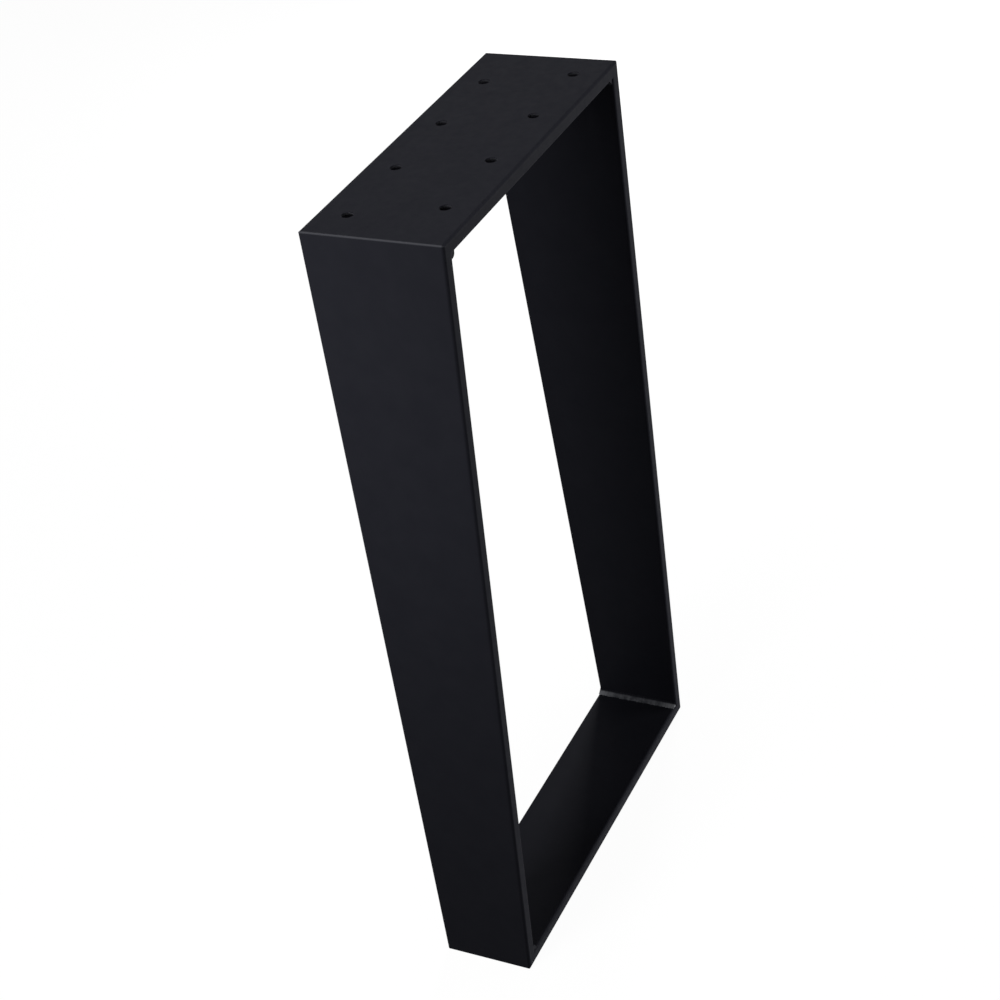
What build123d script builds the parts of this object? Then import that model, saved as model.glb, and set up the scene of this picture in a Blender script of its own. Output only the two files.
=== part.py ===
"""Closed trapezoid table leg: four mitred flat steel bars, welded at the corners."""
import os
from math import hypot

from build123d import *

# Frame, in millimetres. The origin is the middle of the foot on the floor, +Z is up and X runs along the foot.
HEIGHT = 710.0
TOP_LENGTH = 320.0
FOOT_LENGTH = 370.0
TOP_WIDTH = 120.0
FOOT_WIDTH = 82.0
BAR_THICKNESS = 12.0

# Rolled long edges of the bars, and the outside corners where the welds are ground flush
EDGE_RADIUS = 2.5
CORNER_RADIUS = 1.2

# Fillet weld left inside each corner
WELD_LEG = 5.0
WELD_CROWN = 0.7

# Screw holes in the top plate: two rows, set off from each other along the plate
HOLE_DIAMETER = 9.0
HOLE_CHAMFER = 0.4
HOLES_PER_ROW = 4
HOLE_PITCH = 78.0
ROW_SPACING = 69.0
ROW_STAGGER = 24.0

# Lean of an upright, and the level thickness of a leaning bar
LEAN = (FOOT_LENGTH - TOP_LENGTH) / 2 / HEIGHT
LEVEL_THICKNESS = BAR_THICKNESS * hypot(1, LEAN)


def half_length(z):
    """Half of the frame's outside length at height z."""
    return FOOT_LENGTH / 2 - LEAN * z


def half_width(z):
    """Half of the frame's width at height z."""
    return (FOOT_WIDTH + (TOP_WIDTH - FOOT_WIDTH) * z / HEIGHT) / 2


def inside_half_length(z):
    """Half of the clear length between the uprights at height z."""
    return half_length(z) - LEVEL_THICKNESS


def outside_corner(side, end):
    """Outside corner (x, z): side is -1 left or 1 right, end is 0 at the foot or 1 at the top."""
    z = HEIGHT * end
    return Vector(side * half_length(z), z)


def inside_corner(side, end):
    """Inside corner (x, z), numbered as the outside corners are."""
    z = HEIGHT - BAR_THICKNESS if end else BAR_THICKNESS
    return Vector(side * inside_half_length(z), z)


def side_taper():
    """Everything between the two side planes, which lean in towards the floor."""
    section = Polyline(
        (-half_width(0), 0),
        (half_width(0), 0),
        (half_width(HEIGHT), HEIGHT),
        (-half_width(HEIGHT), HEIGHT),
        close=True,
    )
    return extrude(Plane.YZ * make_face(section), FOOT_LENGTH + TOP_LENGTH, both=True)


def dressed_outline():
    """Everything inside the frame's outside outline, with its four corners ground round."""
    corners = [outside_corner(-1, 0), outside_corner(1, 0), outside_corner(1, 1), outside_corner(-1, 1)]
    outline = make_face(Polyline(*corners, close=True))
    outline = fillet(outline.vertices(), CORNER_RADIUS)
    return extrude(Plane.XZ * outline, TOP_WIDTH + FOOT_WIDTH, both=True)


def mitred_bar(first, second):
    """A flat bar from one corner of the frame to the next, with mitred ends and rounded long edges."""
    outline = Polyline(
        outside_corner(*first),
        outside_corner(*second),
        inside_corner(*second),
        inside_corner(*first),
        close=True,
    )
    bar = extrude(Plane.XZ * make_face(outline), TOP_WIDTH + FOOT_WIDTH, both=True) & side_taper()
    lengthwise = bar.edges().filter_by(lambda edge: abs(edge.tangent_at(0.5).Y) < 0.5)
    bar = fillet(lengthwise.sort_by(SortBy.LENGTH)[-4:], EDGE_RADIUS)
    return bar & dressed_outline()


def hole_places():
    """Centres (x, y) of the screw holes: the +Y row is set to the left, the -Y row to the right."""
    first = -HOLE_PITCH * (HOLES_PER_ROW - 1) / 2
    return [
        (first + HOLE_PITCH * number - row * ROW_STAGGER / 2, row * ROW_SPACING / 2)
        for row in (1, -1)
        for number in range(HOLES_PER_ROW)
    ]


def screw_hole():
    """One through hole about the Z axis, with its bottom at z = 0 and a broken edge at both faces."""
    radius = HOLE_DIAMETER / 2
    rim = radius + HOLE_CHAMFER
    profile = Polyline(
        (0, 0),
        (rim, 0),
        (radius, HOLE_CHAMFER),
        (radius, BAR_THICKNESS - HOLE_CHAMFER),
        (rim, BAR_THICKNESS),
        (0, BAR_THICKNESS),
        close=True,
    )
    return revolve(Plane.XZ * make_face(profile), Axis.Z)


def top_plate():
    """The bar under the table top, drilled for its screws."""
    plate = mitred_bar((-1, 1), (1, 1))
    for x, y in hole_places():
        plate -= Pos(x, y, HEIGHT - BAR_THICKNESS) * screw_hole()
    return plate


def inside_weld(side, end):
    """The crowned fillet weld inside one corner, as long as the flat of the bars' inner faces."""
    root = inside_corner(side, end)
    along_upright = (inside_corner(side, 1 - end) - root).normalized()
    along_level = Vector(-side, 0)
    upright_toe = root + along_upright * WELD_LEG
    level_toe = root + along_level * WELD_LEG
    outwards = (along_upright + along_level).normalized()
    crown = (upright_toe + level_toe) / 2 + outwards * WELD_CROWN
    section = make_face([
        Line(root, upright_toe),
        ThreePointArc(upright_toe, crown, level_toe),
        Line(level_toe, root),
    ])
    flat = min(half_width(root.Y), half_width(upright_toe.Y)) - EDGE_RADIUS
    return extrude(Plane.XZ * section, flat, both=True)


def main():
    """Write each piece of the leg to its own file."""
    pieces = {
        "top_plate": top_plate(),
        "foot_bar": mitred_bar((-1, 0), (1, 0)),
        "left_upright": mitred_bar((-1, 0), (-1, 1)),
        "right_upright": mitred_bar((1, 0), (1, 1)),
    }
    for end, level in enumerate(("foot", "top")):
        for side, hand in ((-1, "left"), (1, "right")):
            pieces[f"{level}_{hand}_weld"] = inside_weld(side, end)
    os.makedirs("parts", exist_ok=True)
    for name, piece in pieces.items():
        export_step(piece, f"parts/{name}.step")


main()
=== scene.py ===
"""Dresses a welded flat-bar table leg: satin black coat, rippled inside welds and a white studio."""
import math
import random

import bmesh
import bpy
from mathutils import Matrix, Vector


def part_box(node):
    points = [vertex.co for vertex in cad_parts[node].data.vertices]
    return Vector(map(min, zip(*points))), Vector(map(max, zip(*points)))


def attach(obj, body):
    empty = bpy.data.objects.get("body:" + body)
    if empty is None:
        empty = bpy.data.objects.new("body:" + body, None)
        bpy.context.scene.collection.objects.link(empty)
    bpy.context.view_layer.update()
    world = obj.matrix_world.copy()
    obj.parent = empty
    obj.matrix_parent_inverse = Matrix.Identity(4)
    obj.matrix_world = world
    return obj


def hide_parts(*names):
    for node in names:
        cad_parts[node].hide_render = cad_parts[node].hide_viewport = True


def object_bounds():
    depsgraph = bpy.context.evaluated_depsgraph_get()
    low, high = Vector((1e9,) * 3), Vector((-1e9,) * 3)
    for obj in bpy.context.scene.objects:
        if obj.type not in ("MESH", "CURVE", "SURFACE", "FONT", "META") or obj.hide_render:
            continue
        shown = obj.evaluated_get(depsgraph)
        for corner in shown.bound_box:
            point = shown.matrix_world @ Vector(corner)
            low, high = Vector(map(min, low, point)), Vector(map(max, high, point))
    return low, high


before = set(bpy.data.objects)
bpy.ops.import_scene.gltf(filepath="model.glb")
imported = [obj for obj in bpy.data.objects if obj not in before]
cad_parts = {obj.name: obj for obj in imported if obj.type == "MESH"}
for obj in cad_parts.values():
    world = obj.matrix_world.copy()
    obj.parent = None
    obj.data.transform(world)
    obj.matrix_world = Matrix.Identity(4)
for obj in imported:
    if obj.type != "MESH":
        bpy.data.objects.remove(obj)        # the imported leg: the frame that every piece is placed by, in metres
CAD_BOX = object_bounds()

bl_info = {
    "name": "Flat Bar Table Leg",
    "version": (1, 0, 0),
    "blender": (4, 5, 0),
    "location": "View3D > Sidebar > Table Leg",
    "description": "Coats a welded flat-bar table leg, lays its inside welds and sets up its studio",
    "category": "Object",
}

# Pieces of the leg, with the corner of the frame that each weld lies in
BARS = ("top_plate", "foot_bar", "left_upright", "right_upright")
LEFT, RIGHT = -1, 1
FOOT, TOP = 0, 1
WELDS = {
    "foot_left_weld": (LEFT, FOOT),
    "foot_right_weld": (RIGHT, FOOT),
    "top_left_weld": (LEFT, TOP),
    "top_right_weld": (RIGHT, TOP),
}
# The weld that gets painted highlights at its ends
HIGHLIT_WELD = "foot_right_weld"

# Outside measures of the frame, in metres
HALF_FOOT = CAD_BOX[1][0]
HALF_HEIGHT = CAD_BOX[1][2] / 2

# Top plate, in metres: the rim that has no holes, and a depth just past a hole's broken edge
PLATE_RIM = 0.005
HOLE_EDGE = 0.0005

# Noise in the coats: its roughness, its detail, and the span of its values that is spread out
NOISE_ROUGHNESS = 0.55
CLOUD_DETAIL = 4.0
CLOUD_SPAN = (0.35, 0.65)
GLOSS_DETAIL = 5.0
GLOSS_SPAN = (0.3, 0.7)
GLOSS_PATCHES = 3        # patches of one gloss across a cloudy patch
PEEL_DETAIL = 2.0
# Painted glints on the welds: their noise detail and the span of its values that is spread out
GLINT_DETAIL = 3.0
GLINT_SPAN = (0.4, 0.65)

# Painted highlight at an outside corner and painted light in a hole: share of their reach over which they are at
# full strength
CORNER_CORE = 0.3
HOLE_CORE = 0.5

# Shape of a weld, as shares of its leg or of its throat
TOE_SPAN = (0.1, 0.5)    # of the leg, from the crown's middle to where the upright's toe is black
CROWN_SIZE = 0.96        # of the leg, how far the crown's bevel reaches along it
CROWN_START = 0.9        # of the throat, from where on a point belongs to the crown
LEAST_RIPPLES = 4
SMOOTH_ANGLE = math.radians(50)

# Softboxes, in metres
SOFTBOXES = {
    "key": dict(place=(-0.72, 0.21, 0.70), aim=(-0.17, 0.0, 0.60), width=0.26, height=0.30),
    "side": dict(place=(1.60, -2.10, 0.20), aim=(0.0, 0.0, 0.35), width=1.10, height=0.36),
    "overhead": dict(place=(-0.20, 0.0, 1.70), aim=(-0.05, 0.0, 0.70), width=0.12, height=0.80),
    "back": dict(place=(2.20, 0.52, 0.56), aim=(0.0, 0.0, 0.35), width=0.45, height=0.24),
}


# Settings that a user would change

class CoatSettings(bpy.types.PropertyGroup):
    """The powder coat on the bars"""
    colour: bpy.props.FloatVectorProperty(
        name="Colour", description="Coat where it lies at its usual thickness",
        subtype="COLOR", size=3, min=0.0, max=1.0, default=(0.0140, 0.0144, 0.0190))
    thin_colour: bpy.props.FloatVectorProperty(
        name="Thin Colour", description="Coat where it lies a little thinner and looks greyer",
        subtype="COLOR", size=3, min=0.0, max=1.0, default=(0.0155, 0.0159, 0.0207))
    # Painted highlight: the ground outside corners get a lighter colour, out to the reach below, in place of the
    # light that their rounding catches
    corner_highlight_colour: bpy.props.FloatVectorProperty(
        name="Corner Colour", description="Coat on the ground outside corners, where it lies thin",
        subtype="COLOR", size=3, min=0.0, max=1.0, default=(0.055, 0.056, 0.064))
    corner_highlight_reach: bpy.props.FloatProperty(
        name="Corner Reach", description="How far the thin coat reaches from an outside corner",
        unit="LENGTH", min=0.0001, default=0.0015)
    # Painted light: the upper walls of the holes get a lighter colour, down to the reach below, in place of the
    # light that falls into them from above
    hole_wall_light_colour: bpy.props.FloatVectorProperty(
        name="Hole Colour", description="Coat on the upper walls of the holes, where it lies thin",
        subtype="COLOR", size=3, min=0.0, max=1.0, default=(0.075, 0.076, 0.088))
    hole_light_reach: bpy.props.FloatProperty(
        name="Hole Reach", description="How deep the thin coat reaches into the holes",
        unit="LENGTH", min=0.0001, default=0.0028)
    roughness_low: bpy.props.FloatProperty(
        name="Lowest Roughness", description="Roughness of the smoothest patches",
        subtype="FACTOR", min=0.0, max=1.0, default=0.42)
    roughness_high: bpy.props.FloatProperty(
        name="Highest Roughness", description="Roughness of the dullest patches",
        subtype="FACTOR", min=0.0, max=1.0, default=0.54)
    specular: bpy.props.FloatProperty(
        name="Specular Level", description="How strongly the dull coat mirrors its surroundings",
        subtype="FACTOR", min=0.0, max=1.0, default=0.010)
    patch_size: bpy.props.FloatProperty(
        name="Patch Size", description="Width of a cloudy patch in the coat",
        unit="LENGTH", min=0.001, default=0.022)
    peel_size: bpy.props.FloatProperty(
        name="Peel Size", description="Width of one bump of the coat's orange peel",
        unit="LENGTH", min=0.0001, default=0.0014)
    peel_height: bpy.props.FloatProperty(
        name="Peel Height", description="Height of the coat's orange peel",
        unit="LENGTH", min=0.0, default=0.00003)


class WeldSettings(bpy.types.PropertyGroup):
    """The rippled fillet weld inside each corner"""
    # Painted sheen: the welds are coloured lighter than the bars in place of the light that their rippled crowns
    # catch
    colour: bpy.props.FloatVectorProperty(
        name="Colour", description="Coat on the welds, greyer than on the bars",
        subtype="COLOR", size=3, min=0.0, max=1.0, default=(0.055, 0.057, 0.066))
    # Painted glints: lighter patches of this width scattered over the welds
    glint_colour: bpy.props.FloatVectorProperty(
        name="Rubbed Colour", description="Coat on the welds where it is rubbed lighter",
        subtype="COLOR", size=3, min=0.0, max=1.0, default=(0.125, 0.128, 0.142))
    glint_size: bpy.props.FloatProperty(
        name="Rubbed Size", description="Width of a rubbed patch on the welds",
        unit="LENGTH", min=0.0001, default=0.007)
    # Painted highlights: the ends of the highlit weld, over the length below, are coloured light in place of the
    # light that they catch
    end_highlight_colour: bpy.props.FloatVectorProperty(
        name="Worn Colour", description="Coat at the worn weld's ends, nearly through to the steel",
        subtype="COLOR", size=3, min=0.0, max=1.0, default=(0.28, 0.285, 0.305))
    end_highlight_length: bpy.props.FloatProperty(
        name="Worn Length", description="Length at either end of the worn weld where it is worn",
        unit="LENGTH", min=0.0001, default=0.018)
    fade_length: bpy.props.FloatProperty(
        name="Fade Length", description="Length at the ends of the other welds where they turn black",
        unit="LENGTH", min=0.0001, default=0.006)
    roughness: bpy.props.FloatProperty(
        name="Roughness", description="Roughness of the coat on the welds",
        subtype="FACTOR", min=0.0, max=1.0, default=0.38)
    specular: bpy.props.FloatProperty(
        name="Specular Level", description="How strongly the welds' coat mirrors its surroundings",
        subtype="FACTOR", min=0.0, max=1.0, default=0.010)
    end_reach: bpy.props.FloatProperty(
        name="End Reach", description="How far a weld runs out past the flat of the bars at its ends",
        unit="LENGTH", min=0.0, default=0.0022)
    root_depth: bpy.props.FloatProperty(
        name="Root Depth", description="How deep the root of a weld reaches into the bars",
        unit="LENGTH", min=0.0, default=0.002)
    ripple_pitch: bpy.props.FloatProperty(
        name="Ripple Pitch", description="Distance from one ripple of the weld to the next",
        unit="LENGTH", min=0.0005, default=0.0031)
    ripple_steps: bpy.props.IntProperty(
        name="Steps per Ripple", description="Rings of faces along one ripple",
        min=3, max=12, default=6)
    ripple_depth: bpy.props.FloatProperty(
        name="Ripple Depth", description="Share of the weld's size that is lost between two ripples",
        subtype="FACTOR", min=0.0, max=0.5, default=0.09)
    ripple_bow: bpy.props.FloatProperty(
        name="Ripple Bow", description="How far the middle of a ripple trails behind its toes",
        unit="LENGTH", min=0.0, default=0.0009)
    unevenness: bpy.props.FloatProperty(
        name="Unevenness", description="Largest change in size from one ripple to another",
        subtype="FACTOR", min=0.0, max=0.5, default=0.07)
    crown_segments: bpy.props.IntProperty(
        name="Crown Segments", description="Faces across the weld's crown",
        min=3, max=24, default=9)
    crown_profile: bpy.props.FloatProperty(
        name="Crown Profile", description="Shape of the crown, from flat at 0.25 to round at 0.5",
        subtype="FACTOR", min=0.25, max=0.5, default=0.28)


class StageSettings(bpy.types.PropertyGroup):
    """The white studio: camera, lamps, floor and surrounding light"""
    camera_place: bpy.props.FloatVectorProperty(
        name="Camera Place", description="Where the camera stands",
        subtype="TRANSLATION", unit="LENGTH", size=3, default=(-1.3105, -0.7450, 1.3918))
    camera_azimuth: bpy.props.FloatProperty(
        name="Camera Azimuth", description="Turn of the view from +Y towards +X",
        unit="ROTATION", default=math.radians(59.693))
    camera_elevation: bpy.props.FloatProperty(
        name="Camera Elevation", description="How far the view looks down",
        unit="ROTATION", default=math.radians(33.941))
    camera_roll: bpy.props.FloatProperty(
        name="Camera Roll", description="Tilt of the camera about its line of sight",
        unit="ROTATION", default=math.radians(-9.205))
    camera_lens: bpy.props.FloatProperty(
        name="Camera Lens", description="Focal length for a 36 mm wide picture",
        unit="CAMERA", min=1.0, default=76.55)
    floor_size: bpy.props.FloatProperty(
        name="Floor Size", description="Side of the square floor",
        unit="LENGTH", min=1.0, default=40.0)
    floor_glow: bpy.props.FloatProperty(
        name="Floor Glow", description="Part of the floor's white that doesn't come from the lamps",
        subtype="FACTOR", min=0.0, max=1.0, default=0.97)
    floor_grey: bpy.props.FloatProperty(
        name="Floor Grey", description="Part of the lamps' light that the floor gives back",
        subtype="FACTOR", min=0.0, max=1.0, default=0.05)
    surround: bpy.props.FloatProperty(
        name="Surround", description="Light that falls on the leg from all round",
        min=0.0, default=0.06)
    key_power: bpy.props.FloatProperty(
        name="Key Power", description="Power of the softbox beside the left upright",
        unit="POWER", min=0.0, default=3.75)
    side_power: bpy.props.FloatProperty(
        name="Side Power", description="Power of the low softbox in front of the narrow faces",
        unit="POWER", min=0.0, default=50.0)
    overhead_power: bpy.props.FloatProperty(
        name="Overhead Power", description="Power of the softbox above the top plate",
        unit="POWER", min=0.0, default=7.5)
    back_power: bpy.props.FloatProperty(
        name="Back Power", description="Power of the softbox on the right that shines along the foot",
        unit="POWER", min=0.0, default=42.0)


class LegSettings(bpy.types.PropertyGroup):
    """All settings of the leg, kept with the scene"""
    coat: bpy.props.PointerProperty(type=CoatSettings)
    weld: bpy.props.PointerProperty(type=WeldSettings)
    stage: bpy.props.PointerProperty(type=StageSettings)


# Measures taken from the frame

def upright_lean():
    """How far an upright moves inwards for each metre of height."""
    foot_low, foot_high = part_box("foot_bar")
    top_low, top_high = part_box("top_plate")
    return ((foot_high.x - foot_low.x) - (top_high.x - top_low.x)) / 2 / top_high.z


def weld_leg(node):
    """Length of a weld's leg along the upright and along the level bar."""
    low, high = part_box(node)
    return high.z - low.z


# Node helpers

def add_node(tree, kind, **inputs):
    """Add a shader node and set its constant inputs, an underscore standing for a space."""
    node = tree.nodes.new(kind)
    for name, value in inputs.items():
        node.inputs[name.replace("_", " ")].default_value = value
    return node


def empty_material(name):
    """A new material that holds only its output; returns the material, its tree and the output."""
    material = bpy.data.materials.new(name)
    material.use_nodes = True
    tree = material.node_tree
    tree.nodes.clear()
    return material, tree, tree.nodes.new("ShaderNodeOutputMaterial")


def object_coordinates(tree):
    """The piece's own coordinates."""
    return tree.nodes.new("ShaderNodeTexCoord").outputs["Object"]


def split_axes(tree, coordinates):
    """The X, Y and Z of the coordinates."""
    split = tree.nodes.new("ShaderNodeSeparateXYZ")
    tree.links.new(coordinates, split.inputs["Vector"])
    return split.outputs["X"], split.outputs["Y"], split.outputs["Z"]


def add_math(tree, operation, *values):
    """A sum on numbers and node outputs; returns its output."""
    node = tree.nodes.new("ShaderNodeMath")
    node.operation = operation
    for socket, value in zip(node.inputs, values):
        if isinstance(value, bpy.types.NodeSocket):
            tree.links.new(value, socket)
        else:
            socket.default_value = value
    return node.outputs["Value"]


def add_range(tree, value, start, stop, low=0.0, high=1.0):
    """Spread an output's values from start to stop over low to high; returns the spread output."""
    node = add_node(
        tree, "ShaderNodeMapRange", From_Min=start, From_Max=stop, To_Min=low, To_Max=high)
    tree.links.new(value, node.inputs["Value"])
    return node.outputs["Result"]


def add_blend(tree, factor, first, second):
    """Blend a first colour, or output, into a second colour by a factor output; returns the blend."""
    node = tree.nodes.new("ShaderNodeMix")
    node.data_type = "RGBA"
    tree.links.new(factor, node.inputs["Factor"])
    if isinstance(first, bpy.types.NodeSocket):
        tree.links.new(first, node.inputs["A"])
    else:
        node.inputs["A"].default_value = (*first, 1.0)
    node.inputs["B"].default_value = (*second, 1.0)
    return node.outputs["Result"]


def add_noise(tree, coordinates, width, detail):
    """Noise on the given coordinates, with features about as wide as given, in metres."""
    noise = add_node(
        tree, "ShaderNodeTexNoise", Scale=1.0 / width, Detail=detail, Roughness=NOISE_ROUGHNESS)
    tree.links.new(coordinates, noise.inputs["Vector"])
    return noise.outputs["Fac"]


def seen_directly(tree):
    """1 for rays from the camera, off gloss or through glass, 0 for rays that only carry light."""
    rays = tree.nodes.new("ShaderNodeLightPath").outputs
    reflected = add_math(tree, "MAXIMUM", rays["Is Camera Ray"], rays["Is Glossy Ray"])
    return add_math(tree, "MAXIMUM", reflected, rays["Is Transmission Ray"])


# Masks on the frame

def frame_reaches(tree, coordinates):
    """How far a point lies to the side and how far from half height.

    The first is measured at the floor, after sliding down along the lean, so that it stays the same
    all the way up an upright.
    """
    x, _, z = split_axes(tree, coordinates)
    outwards = add_math(tree, "MULTIPLY_ADD", z, upright_lean(), add_math(tree, "ABSOLUTE", x))
    endwards = add_math(tree, "ABSOLUTE", add_math(tree, "SUBTRACT", z, HALF_HEIGHT))
    return outwards, endwards


def outside_corners(tree, coordinates, reach):
    """1 on the frame's ground outside corners, falling to 0 at the reach from them."""
    outwards, endwards = frame_reaches(tree, coordinates)
    core = reach * CORNER_CORE
    return add_math(tree, "MULTIPLY",
                    add_range(tree, outwards, HALF_FOOT - reach, HALF_FOOT - core),
                    add_range(tree, endwards, HALF_HEIGHT - reach, HALF_HEIGHT - core))


def hole_walls(tree, coordinates, reach):
    """1 on the upper walls of the top plate's holes, falling to 0 at the reach below its face."""
    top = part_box("top_plate")[1]
    x, y, z = split_axes(tree, coordinates)
    depth = add_math(tree, "SUBTRACT", top.z, z)
    mask = add_range(tree, depth, reach, reach * HOLE_CORE)
    tests = (
        add_math(tree, "GREATER_THAN", depth, HOLE_EDGE),
        add_math(tree, "LESS_THAN", add_math(tree, "ABSOLUTE", x), top.x - PLATE_RIM),
        add_math(tree, "LESS_THAN", add_math(tree, "ABSOLUTE", y), top.y - PLATE_RIM),
    )
    for test in tests:
        mask = add_math(tree, "MULTIPLY", mask, test)
    return mask


def weld_ends(tree, coordinates, length):
    """1 where a weld runs out at the bars' narrow faces, falling to 0 at the length from them."""
    foot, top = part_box("foot_bar")[1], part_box("top_plate")[1]
    widening = (top.y - foot.y) / (top.z - foot.z)
    _, y, z = split_axes(tree, coordinates)
    half_width = add_math(tree, "MULTIPLY_ADD", z, widening, top.y - widening * top.z)
    inset = add_math(tree, "SUBTRACT", half_width, add_math(tree, "ABSOLUTE", y))
    return add_range(tree, inset, length, 0.0)


def upright_toes(tree, coordinates):
    """1 on a weld's toe along the upright, falling to 0 near the middle of its crown."""
    leg = weld_leg(HIGHLIT_WELD)
    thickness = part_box("foot_bar")[1].z
    inside_upright = HALF_FOOT - thickness * math.hypot(1.0, upright_lean())
    inside_level = HALF_HEIGHT - thickness
    middle = inside_upright - inside_level
    outwards, endwards = frame_reaches(tree, coordinates)
    across = add_math(tree, "SUBTRACT", outwards, endwards)
    start, stop = (middle + leg * share for share in TOE_SPAN)
    return add_range(tree, across, start, stop)


# Finishes

def bar_coat(coat):
    """Satin black powder coat: cloudy, uneven in gloss, with a fine orange peel, a painted highlight on the
    outside corners and painted light on the upper walls of the holes.
    """
    material, tree, output = empty_material("satin_black_coat")
    link = tree.links.new
    coordinates = object_coordinates(tree)
    paint = add_node(tree, "ShaderNodeBsdfPrincipled", Specular_IOR_Level=coat.specular)

    cloudiness = add_noise(tree, coordinates, coat.patch_size, CLOUD_DETAIL)
    clouds = add_range(tree, cloudiness, *CLOUD_SPAN)
    colour = add_blend(tree, clouds, coat.colour, coat.thin_colour)
    # Painted highlight along the ground outside corners
    corners = outside_corners(tree, coordinates, coat.corner_highlight_reach)
    colour = add_blend(tree, corners, colour, coat.corner_highlight_colour)
    # Painted light on the upper walls of the holes
    holes = hole_walls(tree, coordinates, coat.hole_light_reach)
    colour = add_blend(tree, holes, colour, coat.hole_wall_light_colour)
    link(colour, paint.inputs["Base Color"])

    dullness = add_noise(tree, coordinates, coat.patch_size / GLOSS_PATCHES, GLOSS_DETAIL)
    gloss = add_range(tree, dullness, *GLOSS_SPAN, coat.roughness_low, coat.roughness_high)
    link(gloss, paint.inputs["Roughness"])

    bump = add_node(tree, "ShaderNodeBump", Strength=1.0, Distance=coat.peel_height)
    link(add_noise(tree, coordinates, coat.peel_size, PEEL_DETAIL), bump.inputs["Height"])
    link(bump.outputs["Normal"], paint.inputs["Normal"])
    link(paint.outputs["BSDF"], output.inputs["Surface"])
    return material


def weld_coat(name, weld, coat, end_colour, end_length):
    """The coat over a weld: a painted sheen of grey with lighter painted glints, of another colour at its ends,
    black along the upright.
    """
    material, tree, output = empty_material(name)
    link = tree.links.new
    coordinates = object_coordinates(tree)
    paint = add_node(tree, "ShaderNodeBsdfPrincipled",
                     Roughness=weld.roughness, Specular_IOR_Level=weld.specular)

    # Painted sheen with painted glints: the weld's colour with lighter patches
    patches = add_noise(tree, coordinates, weld.glint_size, GLINT_DETAIL)
    glinting = add_range(tree, patches, *GLINT_SPAN)
    colour = add_blend(tree, glinting, weld.colour, weld.glint_colour)
    # The ends take end_colour: the bars' black on the other welds, painted highlights on the highlit weld
    ends = weld_ends(tree, coordinates, end_length)
    colour = add_blend(tree, ends, colour, end_colour)
    # The painted sheen is kept off the toe along the upright, which keeps the bars' black
    toes = upright_toes(tree, coordinates)
    colour = add_blend(tree, toes, colour, coat.colour)
    link(colour, paint.inputs["Base Color"])
    link(paint.outputs["BSDF"], output.inputs["Surface"])
    return material


def white_floor(stage):
    """White to the eye with the leg's shadow on it, and a dim grey where it only gives back light."""
    material, tree, output = empty_material("white_floor")
    link = tree.links.new
    grey = stage.floor_grey
    ground = add_node(tree, "ShaderNodeBsdfDiffuse", Color=(grey, grey, grey, 1.0))
    glow = add_node(tree, "ShaderNodeEmission")
    both = tree.nodes.new("ShaderNodeAddShader")
    strength = add_range(tree, seen_directly(tree), 0.0, 1.0, 0.0, stage.floor_glow)
    link(strength, glow.inputs["Strength"])
    link(ground.outputs["BSDF"], both.inputs[0])
    link(glow.outputs["Emission"], both.inputs[1])
    link(both.outputs["Shader"], output.inputs["Surface"])
    return material


# Modelling helpers

def only_select(piece, wanted):
    """In edit mode, select just the points whose place passes the test."""
    mesh = bmesh.from_edit_mesh(piece.data)
    for point in mesh.verts:
        point.select = wanted(point.co)
    mesh.select_flush_mode()
    bmesh.update_edit_mesh(piece.data)


def ripple_sizes(weld, length, seed):
    """Relative size of the weld at each ring along it, with sharp valleys and round crests."""
    draw = random.Random(seed)
    ripples = max(LEAST_RIPPLES, round(length / weld.ripple_pitch))
    sizes = []
    for _ in range(ripples):
        crest = 1.0 + draw.uniform(-weld.unevenness, weld.unevenness)
        for step in range(weld.ripple_steps):
            swell = math.sqrt(math.sin(math.pi * step / weld.ripple_steps))
            sizes.append(crest - weld.ripple_depth * (1.0 - swell))
    return sizes + sizes[:1]


def bow_crown(piece, root, leg, bow):
    """In edit mode, let the crown trail behind the toes, so that every ripple is bowed."""
    throat = leg * math.sqrt(0.5)
    mesh = bmesh.from_edit_mesh(piece.data)
    for point in mesh.verts:
        away = Vector((point.co.x - root.x, point.co.z - root.z))
        spread = abs(abs(away.x) - abs(away.y)) / leg
        if away.length > throat * CROWN_START:
            point.co.y -= bow * (1.0 - spread ** 2)
    bmesh.update_edit_mesh(piece.data)


def draw_out(root, length, sizes):
    """In edit mode, draw a section out along Y, ring by ring.

    Each ring is scaled about the root of the weld, so that its legs stay on the bars.
    """
    step = length / (len(sizes) - 1)
    bpy.ops.mesh.select_all(action="SELECT")
    bpy.ops.transform.resize(value=(sizes[0], 1.0, sizes[0]), center_override=root)
    for last, size in zip(sizes, sizes[1:]):
        change = size / last
        bpy.ops.mesh.extrude_region_move(TRANSFORM_OT_translate={"value": (0.0, step, 0.0)})
        bpy.ops.transform.resize(value=(change, 1.0, change), center_override=root)


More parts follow.
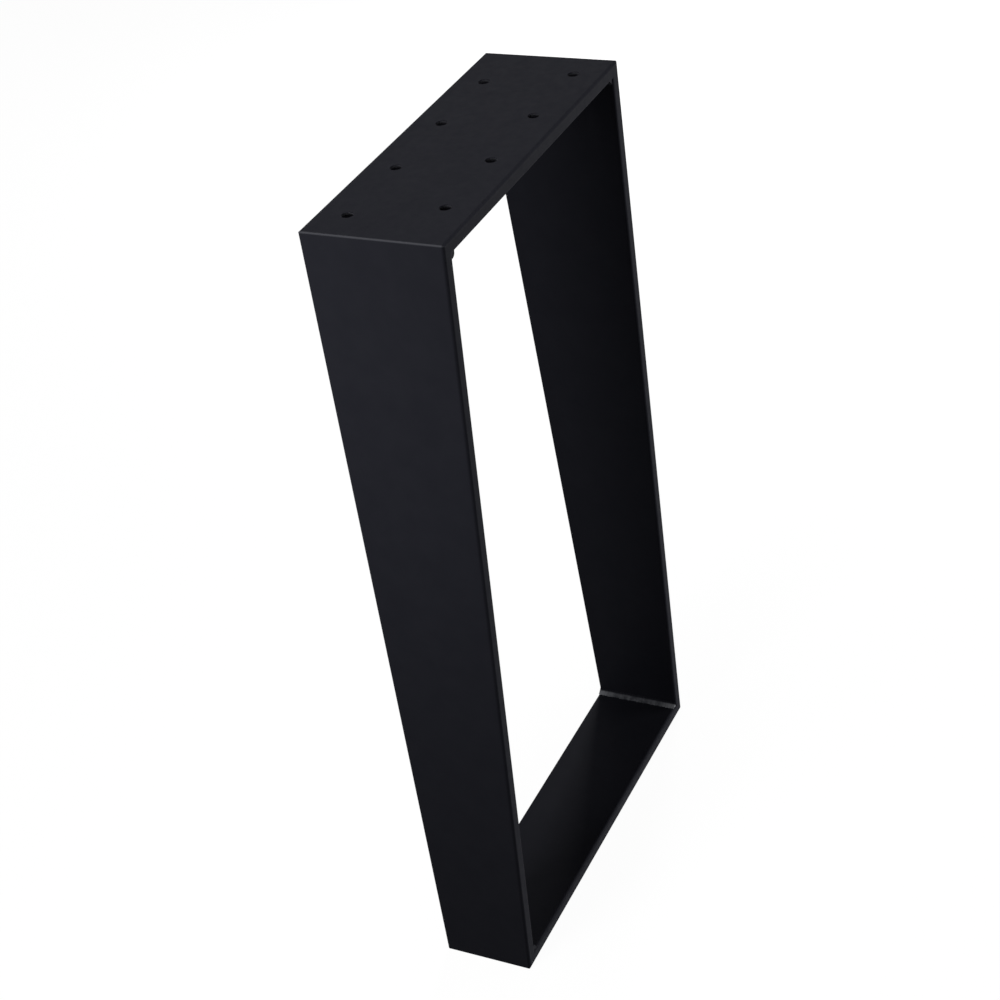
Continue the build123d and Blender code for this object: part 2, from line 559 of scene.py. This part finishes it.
def model_weld(weld, node, side, end, seed):
    """Model one weld: a crowned corner section, drawn out along the corner."""
    low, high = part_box(node)
    leg = weld_leg(node)
    start = low.y - weld.end_reach + weld.ripple_bow
    length = high.y + weld.end_reach - start
    up = 1.0 if end == FOOT else -1.0
    toe_x = high.x if side == LEFT else low.x
    root = Vector((toe_x + side * leg, start, low.z if end == FOOT else high.z))
    half = (leg - weld.root_depth) / 2
    middle = root + Vector((-side * half, 0.0, up * half))

    bpy.ops.object.select_all(action="DESELECT")
    bpy.ops.mesh.primitive_plane_add(
        size=leg + weld.root_depth, location=middle, rotation=(math.pi / 2, 0.0, 0.0))
    piece = bpy.context.object
    piece.name = piece.data.name = node.replace("weld", "bead")
    bpy.ops.object.transform_apply(location=True, rotation=True, scale=True)
    bpy.ops.object.mode_set(mode="EDIT")
    bpy.ops.mesh.select_mode(type="VERT")

    # The far side follows the lean of the upright, and the free corner becomes the crown
    only_select(piece, lambda at: (at.z - middle.z) * up > 0)
    bpy.ops.transform.translate(value=(-side * up * upright_lean() * leg, 0.0, 0.0))
    only_select(piece, lambda at: (at.z - middle.z) * up > 0 and (at.x - middle.x) * side < 0)
    bpy.ops.mesh.bevel(offset=leg * CROWN_SIZE, segments=weld.crown_segments,
                       profile=weld.crown_profile, affect="VERTICES")

    bow_crown(piece, root, leg, weld.ripple_bow)
    draw_out(root, length, ripple_sizes(weld, length, seed))
    bpy.ops.mesh.select_all(action="SELECT")
    bpy.ops.mesh.normals_make_consistent(inside=False)
    bpy.ops.object.mode_set(mode="OBJECT")
    bpy.ops.object.shade_smooth_by_angle(angle=SMOOTH_ANGLE)
    return piece


def add_softbox(name, power, place, aim, width, height):
    """A rectangular lamp at one place that points at another."""
    bpy.ops.object.select_all(action="DESELECT")
    turn = (Vector(aim) - Vector(place)).to_track_quat("-Z", "Y").to_euler()
    bpy.ops.object.light_add(type="AREA", location=place, rotation=turn)
    lamp = bpy.context.object
    lamp.name = name
    lamp.data.shape = "RECTANGLE"
    lamp.data.size = width
    lamp.data.size_y = height
    lamp.data.energy = power


# Operators

class LEG_OT_coat_bars(bpy.types.Operator):
    """Give the top plate, the foot bar and the two uprights their satin black coat"""
    bl_idname = "leg.coat_bars"
    bl_label = "Coat Bars"

    def execute(self, context):
        coat = bar_coat(context.scene.table_leg.coat)
        for name in BARS:
            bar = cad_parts[name]
            bar.data.materials.clear()
            bar.data.materials.append(coat)
        return {"FINISHED"}


class LEG_OT_lay_welds(bpy.types.Operator):
    """Model the rippled fillet weld inside each corner of the frame"""
    bl_idname = "leg.lay_welds"
    bl_label = "Lay Welds"

    def execute(self, context):
        weld = context.scene.table_leg.weld
        coat = context.scene.table_leg.coat
        plain = weld_coat("weld_coat", weld, coat, coat.colour, weld.fade_length)
        # Coat with painted highlights at the ends, for the weld at the far foot corner
        highlit = weld_coat("worn_weld_coat", weld, coat, weld.end_highlight_colour, weld.end_highlight_length)
        for seed, (node, (side, end)) in enumerate(WELDS.items()):
            bead = model_weld(weld, node, side, end, seed)
            bead.data.materials.append(highlit if node == HIGHLIT_WELD else plain)
            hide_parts(node)
            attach(bead, "root")
        return {"FINISHED"}


class LEG_OT_set_stage(bpy.types.Operator):
    """Set up the white floor, the lamps, the surrounding light and the camera"""
    bl_idname = "leg.set_stage"
    bl_label = "Set Stage"

    def execute(self, context):
        stage = context.scene.table_leg.stage
        self.lay_floor(stage)
        self.hang_lamps(stage)
        self.light_surround(context, stage)
        self.place_camera(context, stage)
        context.scene.view_settings.view_transform = "Standard"
        return {"FINISHED"}

    def lay_floor(self, stage):
        """A wide floor at the height that the foot stands on."""
        bpy.ops.object.select_all(action="DESELECT")
        bpy.ops.mesh.primitive_plane_add(size=stage.floor_size, location=(0.0, 0.0, CAD_BOX[0][2]))
        floor = bpy.context.object
        floor.name = floor.data.name = "studio_floor"
        floor.data.materials.append(white_floor(stage))

    def hang_lamps(self, stage):
        """Softboxes for the near upright, the narrow faces, the top plate and the foot."""
        for name, softbox in SOFTBOXES.items():
            add_softbox(f"{name}_softbox", getattr(stage, f"{name}_power"), **softbox)

    def light_surround(self, context, stage):
        """White all round where it is seen, and dimmer where it only lights the leg."""
        world = bpy.data.worlds.new("white_surround")
        context.scene.world = world
        world.use_nodes = True
        tree = world.node_tree
        background = tree.nodes["Background"]
        background.inputs["Color"].default_value = (1.0, 1.0, 1.0, 1.0)
        strength = add_range(tree, seen_directly(tree), 0.0, 1.0, stage.surround, 1.0)
        tree.links.new(strength, background.inputs["Strength"])

    def place_camera(self, context, stage):
        """The camera stands high on the left and looks down on the leg, slightly tilted."""
        bpy.ops.object.select_all(action="DESELECT")
        bpy.ops.object.camera_add()
        camera = bpy.context.object
        camera.data.lens = stage.camera_lens
        camera.data.clip_end = stage.floor_size
        turn = Matrix.Rotation(-stage.camera_azimuth, 4, "Z")
        tip = Matrix.Rotation(math.pi / 2 - stage.camera_elevation, 4, "X")
        roll = Matrix.Rotation(stage.camera_roll, 4, "Z")
        camera.matrix_world = Matrix.Translation(stage.camera_place) @ turn @ tip @ roll
        context.scene.camera = camera


class LEG_PT_table_leg(bpy.types.Panel):
    """Sidebar panel with the leg's steps and settings"""
    bl_label = "Table Leg"
    bl_idname = "LEG_PT_table_leg"
    bl_space_type = "VIEW_3D"
    bl_region_type = "UI"
    bl_category = "Table Leg"

    def draw(self, context):
        settings = context.scene.table_leg
        steps = (
            (LEG_OT_coat_bars, settings.coat),
            (LEG_OT_lay_welds, settings.weld),
            (LEG_OT_set_stage, settings.stage),
        )
        for step, group in steps:
            box = self.layout.box()
            box.operator(step.bl_idname)
            for name in group.__annotations__:
                box.prop(group, name)


CLASSES = (
    CoatSettings,
    WeldSettings,
    StageSettings,
    LegSettings,
    LEG_OT_coat_bars,
    LEG_OT_lay_welds,
    LEG_OT_set_stage,
    LEG_PT_table_leg,
)


def register():
    """Add the settings, the steps and the panel, and keep the settings with the scene."""
    for kind in CLASSES:
        bpy.utils.register_class(kind)
    bpy.types.Scene.table_leg = bpy.props.PointerProperty(type=LegSettings)


def unregister():
    """Take away what register has added."""
    del bpy.types.Scene.table_leg
    for kind in reversed(CLASSES):
        bpy.utils.unregister_class(kind)


def main():
    """Dress the leg step by step."""
    register()
    bpy.ops.leg.coat_bars()
    bpy.ops.leg.lay_welds()
    bpy.ops.leg.set_stage()


if __name__ == "__main__":
    main()
